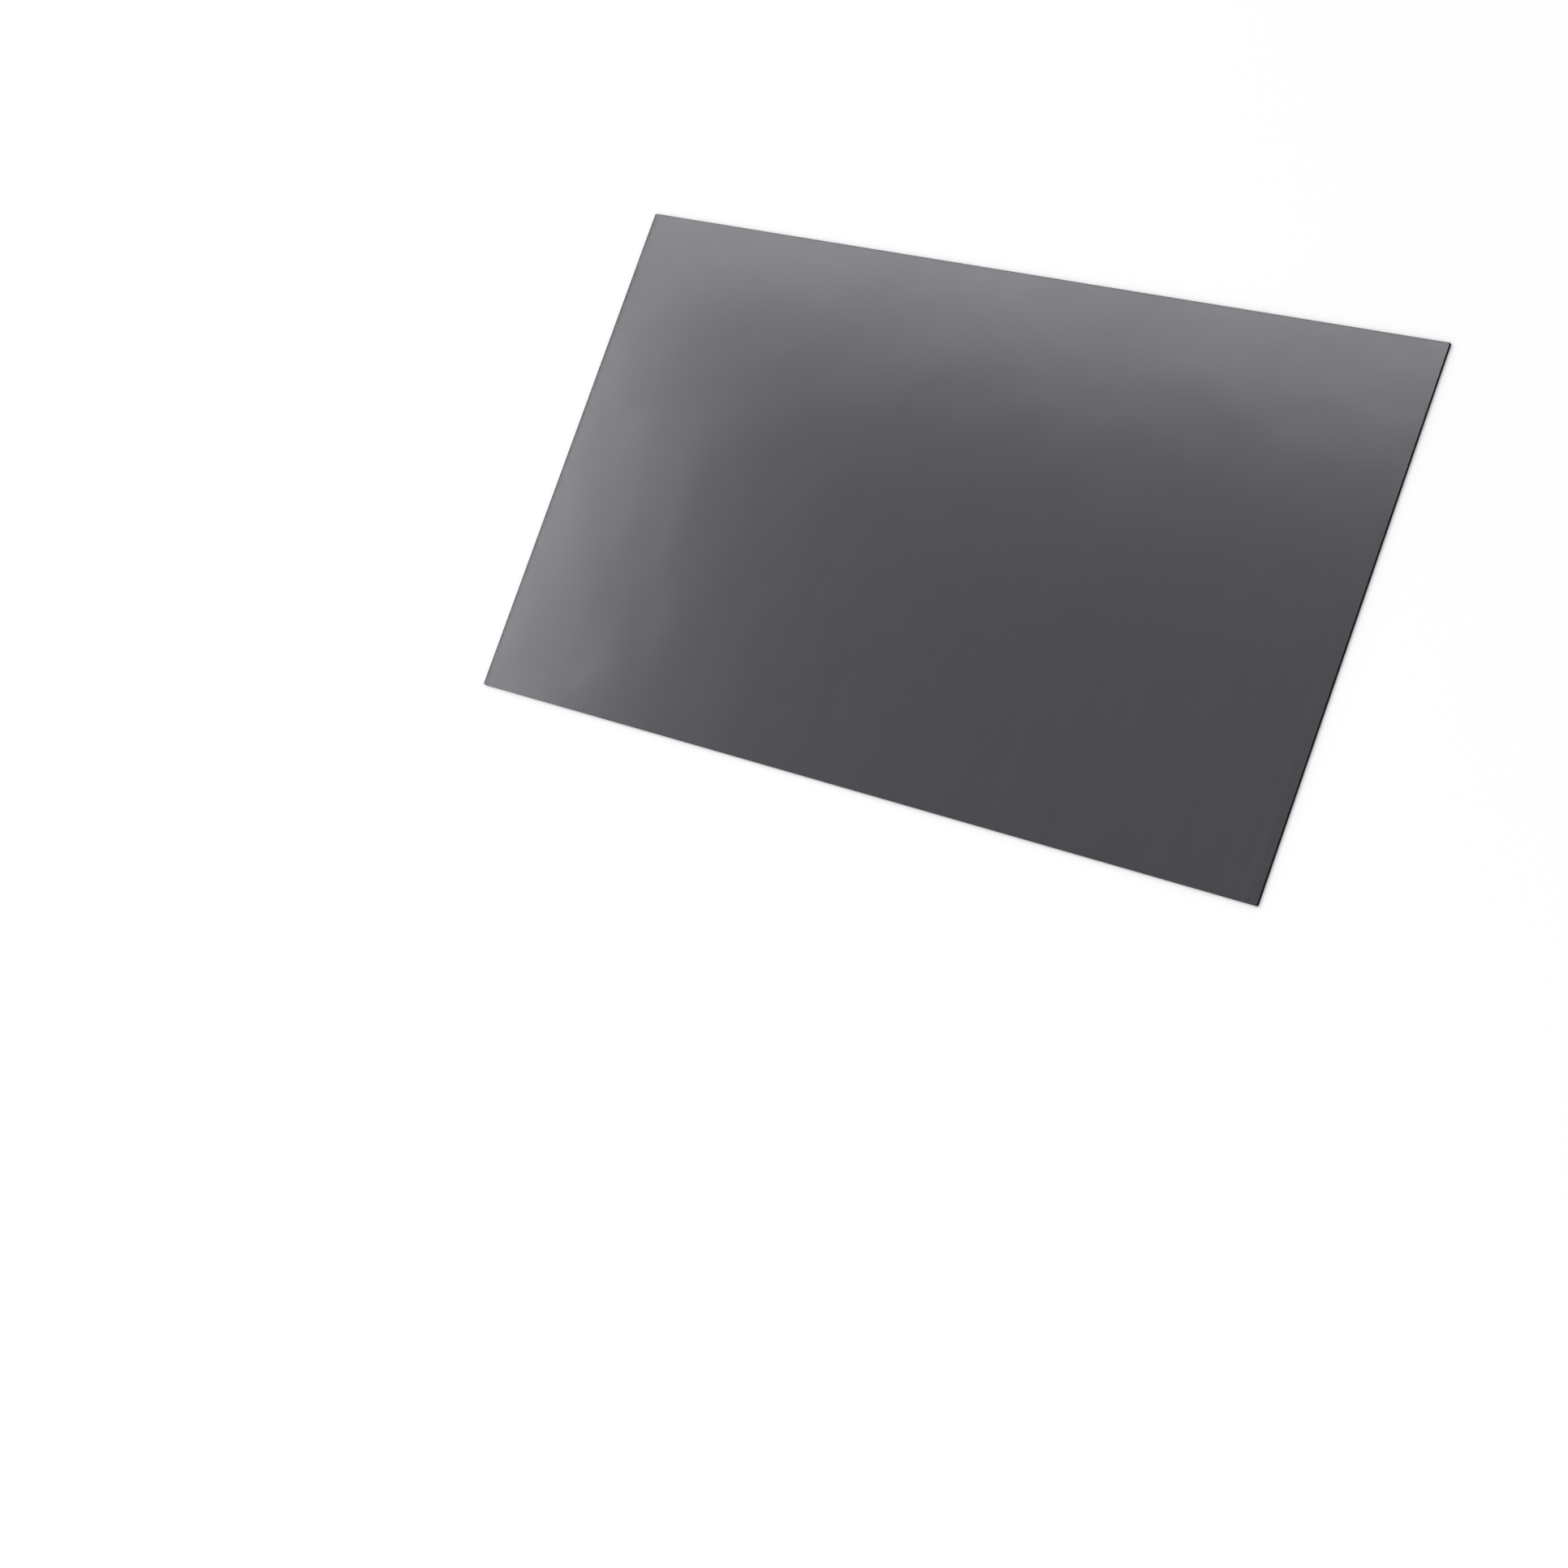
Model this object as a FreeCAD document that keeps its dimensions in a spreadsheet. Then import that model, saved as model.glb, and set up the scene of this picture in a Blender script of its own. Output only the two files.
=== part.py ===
# Privacy screen protector: one stiff sheet of louvred film, die-cut to the 15.6 inch 16:9 size.
# The sheet lies flat. X runs along its long edges, Y towards its top edge, and Z up out of the
# face that is looked through. The origin is the middle of the underside.

import FreeCAD
import Part
import Sketcher
import os

# Driving dimensions in millimetres: name, value, what it measures
DRIVING_SIZES = [
    ("sheet_width", 344.0, "cut length of the top and bottom edges"),
    ("sheet_height", 194.0, "cut length of the left and right edges"),
    ("sheet_thickness", 0.8, "louvred core with its two clear faces"),
    ("corner_radius", 0.5, "rounding that the cutting die leaves at each corner"),
    ("edge_break", 0.1, "bevel round both faces that takes the burr off the cut"),
]


def write_sizes(doc):
    """Put each driving dimension in a named cell of the spreadsheet."""
    sheet = doc.addObject("Spreadsheet::Sheet", "sizes")
    for row, (name, value, meaning) in enumerate(DRIVING_SIZES, start=1):
        sheet.set(f"A{row}", name)
        sheet.set(f"B{row}", str(value))
        sheet.setAlias(f"B{row}", name)
        sheet.set(f"C{row}", meaning)
    doc.recompute()
    return sheet


def origin_plane(body, role):
    """The body's own origin plane with this role."""
    return next(feature for feature in body.Origin.OriginFeatures if feature.Role == role)


def draw_cut_outline(body, sizes):
    """Rectangle that the die cuts, centred on the origin, with its two lengths bound to the sheet."""
    sketch = body.newObject("Sketcher::SketchObject", "cut_outline")
    sketch.AttachmentSupport = (origin_plane(body, "XY_Plane"), [""])
    sketch.MapMode = "FlatFace"

    half_width = sizes.sheet_width / 2
    half_height = sizes.sheet_height / 2
    corners = [
        FreeCAD.Vector(-half_width, -half_height, 0),
        FreeCAD.Vector(half_width, -half_height, 0),
        FreeCAD.Vector(half_width, half_height, 0),
        FreeCAD.Vector(-half_width, half_height, 0),
    ]
    bottom, right, top, left = [
        sketch.addGeometry(Part.LineSegment(corner, following), False)
        for corner, following in zip(corners, corners[1:] + corners[:1])
    ]

    # A sketch counts a line's start and end as its points 1 and 2, and the origin as point 1 of line -1
    start, end = range(1, 3)
    origin = (-1, start)
    for line, following in ((bottom, right), (right, top), (top, left), (left, bottom)):
        sketch.addConstraint(Sketcher.Constraint("Coincident", line, end, following, start))
    for line in (bottom, top):
        sketch.addConstraint(Sketcher.Constraint("Horizontal", line))
    for line in (right, left):
        sketch.addConstraint(Sketcher.Constraint("Vertical", line))
    sketch.addConstraint(Sketcher.Constraint("Symmetric", bottom, start, right, end, *origin))
    for kind, line, name in (("DistanceX", bottom, "sheet_width"), ("DistanceY", right, "sheet_height")):
        length = Sketcher.Constraint(kind, line, start, line, end, getattr(sizes, name))
        sketch.renameConstraint(sketch.addConstraint(length), name)
        sketch.setExpression(f"Constraints.{name}", f"sizes.{name}")
    return sketch


def follows_z(direction):
    """Whether a unit direction points straight up or straight down, to three places."""
    return round(abs(direction.z), 3) == 1


def upright_edges(shape):
    """Names of the edges that stand across the sheet's thickness."""
    return [
        f"Edge{number}"
        for number, edge in enumerate(shape.Edges, start=1)
        if follows_z(edge.tangentAt(edge.FirstParameter))
    ]


def level_faces(shape):
    """Names of the two broad faces."""
    return [
        f"Face{number}"
        for number, face in enumerate(shape.Faces, start=1)
        if follows_z(face.normalAt(0, 0))
    ]


def make_privacy_film(doc, sizes):
    """The sheet: a cut blank with its corners rounded and the burr taken off both faces."""
    body = doc.addObject("PartDesign::Body", "privacy_film")
    body.Label = "privacy_film"
    body.Placement = FreeCAD.Placement(FreeCAD.Vector(0, 0, 0), FreeCAD.Rotation())

    blank = body.newObject("PartDesign::Pad", "sheet_blank")
    blank.Profile = draw_cut_outline(body, sizes)
    blank.setExpression("Length", "sizes.sheet_thickness")
    doc.recompute()

    corners = body.newObject("PartDesign::Fillet", "rounded_corners")
    corners.Base = (blank, upright_edges(blank.Shape))
    corners.setExpression("Radius", "sizes.corner_radius")
    doc.recompute()

    bevel = body.newObject("PartDesign::Chamfer", "broken_edges")
    bevel.Base = (corners, level_faces(corners.Shape))
    bevel.setExpression("Size", "sizes.edge_break")
    doc.recompute()
    return body


def check_built(doc, sub_parts):
    """Stop before anything is written if a feature failed or a solid is not sound."""
    for item in doc.Objects:
        if "Invalid" in item.State or "Error" in item.State:
            raise RuntimeError(f"{item.Label} did not build: {item.State}")
    for sub_part in sub_parts:
        shape = sub_part.Shape
        if shape.isNull() or not shape.isValid() or len(shape.Solids) != 1:
            raise RuntimeError(f"{sub_part.Label} is not one sound solid")


doc = FreeCAD.newDocument("privacy_screen_protector")
sizes = write_sizes(doc)
sub_parts = [make_privacy_film(doc, sizes)]
doc.recompute()
check_built(doc, sub_parts)

os.makedirs("parts", exist_ok=True)
for sub_part in sub_parts:
    sub_part.Shape.exportStep(f"parts/{sub_part.Label}.step")
    box = sub_part.Shape.BoundBox
    print(f"{sub_part.Label}: {box.XLength:.3f} x {box.YLength:.3f} x {box.ZLength:.3f} mm,"
          f" {sub_part.Shape.Volume:.1f} mm3")
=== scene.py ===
import math

import bmesh
import bpy
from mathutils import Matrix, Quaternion, Vector


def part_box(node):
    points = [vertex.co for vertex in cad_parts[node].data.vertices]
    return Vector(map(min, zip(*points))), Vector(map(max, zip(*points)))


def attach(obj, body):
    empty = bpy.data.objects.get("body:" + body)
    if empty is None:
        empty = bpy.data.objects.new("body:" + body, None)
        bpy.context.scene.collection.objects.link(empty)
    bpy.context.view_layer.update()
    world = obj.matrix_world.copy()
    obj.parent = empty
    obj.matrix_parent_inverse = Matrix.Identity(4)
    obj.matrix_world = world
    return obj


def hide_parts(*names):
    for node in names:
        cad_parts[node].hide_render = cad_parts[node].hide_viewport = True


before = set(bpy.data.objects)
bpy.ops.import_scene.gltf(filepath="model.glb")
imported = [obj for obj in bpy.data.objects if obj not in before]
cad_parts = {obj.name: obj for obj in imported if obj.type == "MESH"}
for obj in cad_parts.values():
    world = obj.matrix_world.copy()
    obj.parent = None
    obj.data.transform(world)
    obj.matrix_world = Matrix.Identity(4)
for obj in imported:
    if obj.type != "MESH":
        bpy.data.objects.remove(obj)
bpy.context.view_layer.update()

# Privacy film
# One stiff sheet of smoked see-through plastic with fine black louvres standing inside it. It is
# laminated as a web, given a satin coat on both faces and cut to size with a die.

film_low, film_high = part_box("privacy_film")
CORNER_RADIUS = 0.0005
CORNER_STEPS = 6
EDGE_ROUND = 0.0001
EDGE_STEPS = 3
RIM_WIDTH = 0.0002

# The finishes go on in this order
FACE, SIDE_CUT, END_CUT = range(3)


def cut_outline(inset, height):
    """Points round the sheet, which is centred, this far in from the cut and at this height."""
    corner_x = film_high.x - CORNER_RADIUS
    corner_y = film_high.y - CORNER_RADIUS
    reach = CORNER_RADIUS - inset
    points = []
    for quarter, (right, top) in enumerate(((1, 1), (-1, 1), (-1, -1), (1, -1))):
        for step in range(CORNER_STEPS + 1):
            angle = math.pi / 2 * (quarter + step / CORNER_STEPS)
            x = right * corner_x + reach * math.cos(angle)
            y = top * corner_y + reach * math.sin(angle)
            points.append((x, y, height))
    return points


def cut_rings():
    """Outlines from the lower face over its rim, round the dulled edge and on to the upper face."""
    turns = [math.pi / 2 * step / EDGE_STEPS for step in range(EDGE_STEPS + 1)]
    hem = [(EDGE_ROUND * (1 - math.sin(turn)), EDGE_ROUND * (1 - math.cos(turn))) for turn in turns]
    hem.insert(0, (EDGE_ROUND + RIM_WIDTH, 0.0))
    lower = [cut_outline(inset, film_low.z + rise) for inset, rise in hem]
    upper = [cut_outline(inset, film_high.z - rise) for inset, rise in reversed(hem)]
    return lower + upper


film_mesh = bpy.data.meshes.new("film_sheet")
work = bmesh.new()
rings = [[work.verts.new(point) for point in ring] for ring in cut_rings()]
for cap in (reversed(rings[0]), rings[-1]):
    work.faces.new(cap).material_index = FACE
for lower, upper in zip(rings, rings[1:]):
    for corner in range(len(lower)):
        strip = work.faces.new((lower[corner - 1], lower[corner], upper[corner], upper[corner - 1]))
        run = lower[corner].co - lower[corner - 1].co
        on_rim = lower[corner].co.z == upper[corner].co.z
        strip.smooth = not on_rim
        # Only the left and right cuts' finish runs on over the rim
        if abs(run.y) > abs(run.x):
            strip.material_index = SIDE_CUT
        else:
            strip.material_index = FACE if on_rim else END_CUT
work.to_mesh(film_mesh)
work.free()

film = bpy.data.objects.new("film_sheet", film_mesh)
bpy.context.scene.collection.objects.link(film)
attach(film, "root")
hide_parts("privacy_film")

# Film faces
# Smoked plastic that lets about a seventh of the light through, with a satin coat that spreads
# what it mirrors. The louvres run up the sheet, finer than the eye can part, in faint streaks.


class Socket:
    """An output socket that takes part in arithmetic: each operator adds one Math node."""

    def __init__(self, finish, socket):
        self.finish = finish
        self.socket = socket

    def beside(self, name):
        """Another output of the same node."""
        return Socket(self.finish, self.socket.node.outputs[name])

    def maths(self, operation, *values):
        return self.finish.node("ShaderNodeMath", {"operation": operation}, dict(enumerate(values)))

    def __add__(self, other):
        return self.maths("ADD", self, other)

    def __mul__(self, other):
        return self.maths("MULTIPLY", self, other)

    __radd__ = __add__
    __rmul__ = __mul__

    def sine(self):
        return self.maths("SINE", self)

    def larger(self, other):
        return self.maths("MAXIMUM", self, other)


class Finish:
    """The nodes of one material, or of the world."""

    def __init__(self, owner):
        owner.use_nodes = True
        self.owner = owner
        self.tree = owner.node_tree
        self.tree.nodes.clear()

    def node(self, kind, settings=None, sockets=None, output=0):
        """Add a node: its type, its settings, its sockets' values or links, and the output to use."""
        made = self.tree.nodes.new(kind)
        for name, value in (settings or {}).items():
            setattr(made, name, value)
        for name, value in (sockets or {}).items():
            if isinstance(value, Socket):
                self.tree.links.new(value.socket, made.inputs[name])
            else:
                made.inputs[name].default_value = value
        return Socket(self, made.outputs[output]) if made.outputs else None


def colour(red, green, blue):
    return (red, green, blue, 1.0)


def wear_finish(piece_mesh, name):
    """A new finish in the mesh's next material slot."""
    material = bpy.data.materials.new(name)
    piece_mesh.materials.append(material)
    return Finish(material)


FILM_ALPHA = 0.62
LOUVRE_PITCH = 0.0001
STREAK_WIDTH = 0.003
STREAK_LENGTH = 0.6
STREAK_SHARE = 0.55
LOUVRE_TONE = colour(0.008, 0.008, 0.010)
GAP_TONE = colour(0.040, 0.038, 0.052)
COAT_TINT = colour(0.945, 0.925, 1.0)
COAT_ROUGHNESS = 0.145
COAT_UNEVENNESS = 0.04
GRAIN_SIZE = 0.00025
GRAIN_DEPTH = 0.000003
WAVE_SIZE = 0.045
WAVE_DEPTH = 0.00015


def blend(finish, share, dark, light):
    """The colour at this share of the way from the dark one to the light one."""
    sockets = {"Factor": share, "A": dark, "B": light}
    return finish.node("ShaderNodeMix", {"data_type": "RGBA"}, sockets, "Result")


def stretched(finish, place, scale):
    """The place with each axis scaled by itself."""
    return finish.node("ShaderNodeVectorMath", {"operation": "MULTIPLY"}, {0: place, 1: scale})


def louvre_tone(finish, place, dark, light):
    """Tint that is dark at each louvre and lighter in the gap beside it, streaked up the sheet."""
    across = finish.node("ShaderNodeSeparateXYZ", sockets={"Vector": place}, output="X")
    gap = 0.5 + 0.5 * (across * (2 * math.pi / LOUVRE_PITCH)).sine()
    drawn_out = stretched(finish, place, (1 / STREAK_WIDTH, 1 / STREAK_LENGTH, 0.0))
    streak = finish.node("ShaderNodeTexNoise", sockets={"Vector": drawn_out, "Scale": 1.0})
    return blend(finish, (1 - STREAK_SHARE) * gap + STREAK_SHARE * streak, dark, light)


face = wear_finish(film_mesh, "satin_smoked_face")
place = face.node("ShaderNodeTexCoord", output="Object")
grain = face.node("ShaderNodeTexNoise", sockets={"Vector": place, "Scale": 1 / GRAIN_SIZE})
wave = face.node("ShaderNodeTexNoise", sockets={"Vector": place, "Scale": 1 / WAVE_SIZE})
rolled = face.node("ShaderNodeBump", sockets={"Height": wave, "Distance": WAVE_DEPTH})
coated = face.node(
    "ShaderNodeBump",
    sockets={"Height": grain, "Distance": GRAIN_DEPTH, "Normal": rolled},
)
face_shader = face.node(
    "ShaderNodeBsdfPrincipled",
    sockets={
        "Base Color": louvre_tone(face, place, LOUVRE_TONE, GAP_TONE),
        "Roughness": COAT_ROUGHNESS + COAT_UNEVENNESS * grain,
        "Specular Tint": COAT_TINT,
        "Alpha": FILM_ALPHA,
        "Normal": coated,
    },
)
face.node("ShaderNodeOutputMaterial", sockets={"Surface": face_shader})

# Left and right cuts
# The die runs along a louvre here, so the edge shows its sooty black flank, dull and marked
# across by the blade, which also drags a hair line of black over the rim of both faces.

SIDE_DARK = colour(0.0015, 0.0015, 0.002)
SIDE_WORN = colour(0.005, 0.005, 0.006)
SIDE_ROUGHNESS = 0.7
SIDE_UNEVENNESS = 0.15
SIDE_GLOSS = 0.08
MARK_WIDTH = 0.00025
MARK_LENGTH = 0.0025
MARK_DEPTH = 0.000006

side = wear_finish(film_mesh, "louvre_flank")
place = side.node("ShaderNodeTexCoord", output="Object")
across_cut = stretched(side, place, (1 / MARK_WIDTH, 1 / MARK_WIDTH, 1 / MARK_LENGTH))
marks = side.node("ShaderNodeTexNoise", sockets={"Vector": across_cut, "Scale": 1.0})
scored = side.node("ShaderNodeBump", sockets={"Height": marks, "Distance": MARK_DEPTH})
side_shader = side.node(
    "ShaderNodeBsdfPrincipled",
    sockets={
        "Base Color": blend(side, marks, SIDE_DARK, SIDE_WORN),
        "Roughness": SIDE_ROUGHNESS + SIDE_UNEVENNESS * marks,
        "Specular IOR Level": SIDE_GLOSS,
        "Normal": scored,
    },
)
side.node("ShaderNodeOutputMaterial", sockets={"Surface": side_shader})

# Top and bottom cuts
# The die crosses the louvres here, so the edge is a comb of black louvre ends with smoked plastic
# between them, dulled by the blade.

END_LOUVRE = colour(0.004, 0.004, 0.005)
END_GAP = colour(0.045, 0.042, 0.058)
END_ROUGHNESS = 0.6
END_GLOSS = 0.2

end = wear_finish(film_mesh, "louvre_ends")
place = end.node("ShaderNodeTexCoord", output="Object")
end_shader = end.node(
    "ShaderNodeBsdfPrincipled",
    sockets={
        "Base Color": louvre_tone(end, place, END_LOUVRE, END_GAP),
        "Roughness": END_ROUGHNESS,
        "Specular IOR Level": END_GLOSS,
    },
)
end.node("ShaderNodeOutputMaterial", sockets={"Surface": end_shader})

# Floor
# A plain white table, wide enough to fill every view. Round the sheet it keeps the sheet's shadow,
# and further out the camera sees it as paper white.

FLOOR_SIDE = 12.0
FLOOR_GAP = 0.0002
FLOOR_WHITE = colour(0.96, 0.96, 0.96)
FULL_WHITE = colour(1.0, 1.0, 1.0)
GLOW_STARTS = 0.2
GLOW_IS_FULL = 0.5

floor_mesh = bpy.data.meshes.new("floor")
work = bmesh.new()
bmesh.ops.create_grid(work, x_segments=1, y_segments=1, size=FLOOR_SIDE / 2)
work.to_mesh(floor_mesh)
work.free()
floor = bpy.data.objects.new("floor", floor_mesh)
floor.location.z = film_low.z - FLOOR_GAP
bpy.context.scene.collection.objects.link(floor)

table = wear_finish(floor_mesh, "white_table")
place = table.node("ShaderNodeTexCoord", output="Object")
away = table.node("ShaderNodeVectorMath", {"operation": "LENGTH"}, {0: place}, "Value")
glow_share = table.node(
    "ShaderNodeMapRange",
    {"interpolation_type": "SMOOTHSTEP"},
    {"Value": away, "From Min": GLOW_STARTS, "From Max": GLOW_IS_FULL},
)
seen = table.node("ShaderNodeLightPath", output="Is Camera Ray")
paint = table.node("ShaderNodeBsdfDiffuse", sockets={"Color": FLOOR_WHITE})
glow = table.node("ShaderNodeEmission", sockets={"Color": FULL_WHITE, "Strength": 1.0})
glowing = seen * glow_share
table_shader = table.node("ShaderNodeMixShader", sockets={"Fac": glowing, 1: paint, 2: glow})
table.node("ShaderNodeOutputMaterial", sockets={"Surface": table_shader})

# Studio light
# A white room that fills every shadow, a soft lamp over the sheet's lower edge, two long soft boxes
# in an L that the satin coat mirrors as paler bands along its top and left edges, and two low ones
# that give it a sheen when it is seen across its corners.

ROOM_FILL = 0.72
KEY_PLACE = Vector((0.3, -0.9, 1.6))
KEY_SIZE = (1.2, 1.2)
KEY_WATTS = 5.8
LEFT_BOX_PLACE = Vector((-3.26, 0.35, 3.2))
LEFT_BOX_SIZE = (0.6, 1.2)
LEFT_BOX_WATTS = 22.5
TOP_BOX_PLACE = Vector((-2.28, 1.3, 3.2))
TOP_BOX_SIZE = (2.56, 0.6)
TOP_BOX_WATTS = 39.0
FAR_BOX_PLACE = Vector((-3.3, 2.5, 1.65))
FAR_BOX_SIZE = (1.2, 0.8)
FAR_BOX_WATTS = 7.0
NEAR_BOX_PLACE = Vector((3.5, -2.6, 1.05))
NEAR_BOX_SIZE = (1.2, 0.5)
NEAR_BOX_WATTS = 2.2
DOWN = Vector((0.0, 0.0, -1.0))

room = Finish(bpy.data.worlds.new("white_room"))
bpy.context.scene.world = room.owner
camera_ray = room.node("ShaderNodeLightPath", output="Is Camera Ray")
glossy_ray = camera_ray.beside("Is Glossy Ray")
through_ray = camera_ray.beside("Is Transmission Ray")
shown = camera_ray.larger(glossy_ray).larger(through_ray)
fill = room.node("ShaderNodeBackground", sockets={"Color": FULL_WHITE, "Strength": ROOM_FILL})
backdrop = room.node("ShaderNodeBackground", sockets={"Color": FULL_WHITE, "Strength": 1.0})
room_shader = room.node("ShaderNodeMixShader", sockets={"Fac": shown, 1: fill, 2: backdrop})
room.node("ShaderNodeOutputWorld", sockets={"Surface": room_shader})


def hang_lamp(name, place, facing, size, watts):
    """A soft lamp of this width and height that faces this way."""
    lamp_data = bpy.data.lights.new(name, "AREA")
    lamp_data.shape = "RECTANGLE"
    lamp_data.size, lamp_data.size_y = size
    lamp_data.energy = watts
    lamp = bpy.data.objects.new(name, lamp_data)
    lamp.location = place
    lamp.rotation_mode = "QUATERNION"
    lamp.rotation_quaternion = facing.to_track_quat("-Z", "Y")
    bpy.context.scene.collection.objects.link(lamp)


hang_lamp("key_lamp", KEY_PLACE, DOWN, KEY_SIZE, KEY_WATTS)
hang_lamp("left_soft_box", LEFT_BOX_PLACE, DOWN, LEFT_BOX_SIZE, LEFT_BOX_WATTS)
hang_lamp("top_soft_box", TOP_BOX_PLACE, DOWN, TOP_BOX_SIZE, TOP_BOX_WATTS)
hang_lamp("far_soft_box", FAR_BOX_PLACE, -FAR_BOX_PLACE, FAR_BOX_SIZE, FAR_BOX_WATTS)
hang_lamp("near_soft_box", NEAR_BOX_PLACE, -NEAR_BOX_PLACE, NEAR_BOX_SIZE, NEAR_BOX_WATTS)

# Camera
# It looks down on the sheet from beyond its right edge, and is rolled so that the sheet's long
# edges run across the picture.

CAMERA_PLACE = Vector((0.67289, -0.19676, 0.93636))
CAMERA_AIM = Vector((-0.02221, -0.10159, 0.0))
CAMERA_ROLL = math.radians(64.1)
LENS_MM = 75.79
SENSOR_MM = 36.0

camera_data = bpy.data.cameras.new("camera")
camera_data.lens = LENS_MM
camera_data.sensor_width = SENSOR_MM
camera = bpy.data.objects.new("camera", camera_data)
camera.location = CAMERA_PLACE
camera.rotation_mode = "QUATERNION"
level = (CAMERA_AIM - CAMERA_PLACE).to_track_quat("-Z", "Y")
camera.rotation_quaternion = level @ Quaternion((0.0, 0.0, 1.0), -CAMERA_ROLL)
bpy.context.scene.collection.objects.link(camera)
bpy.context.scene.camera = camera
bpy.context.scene.view_settings.view_transform = "Standard"
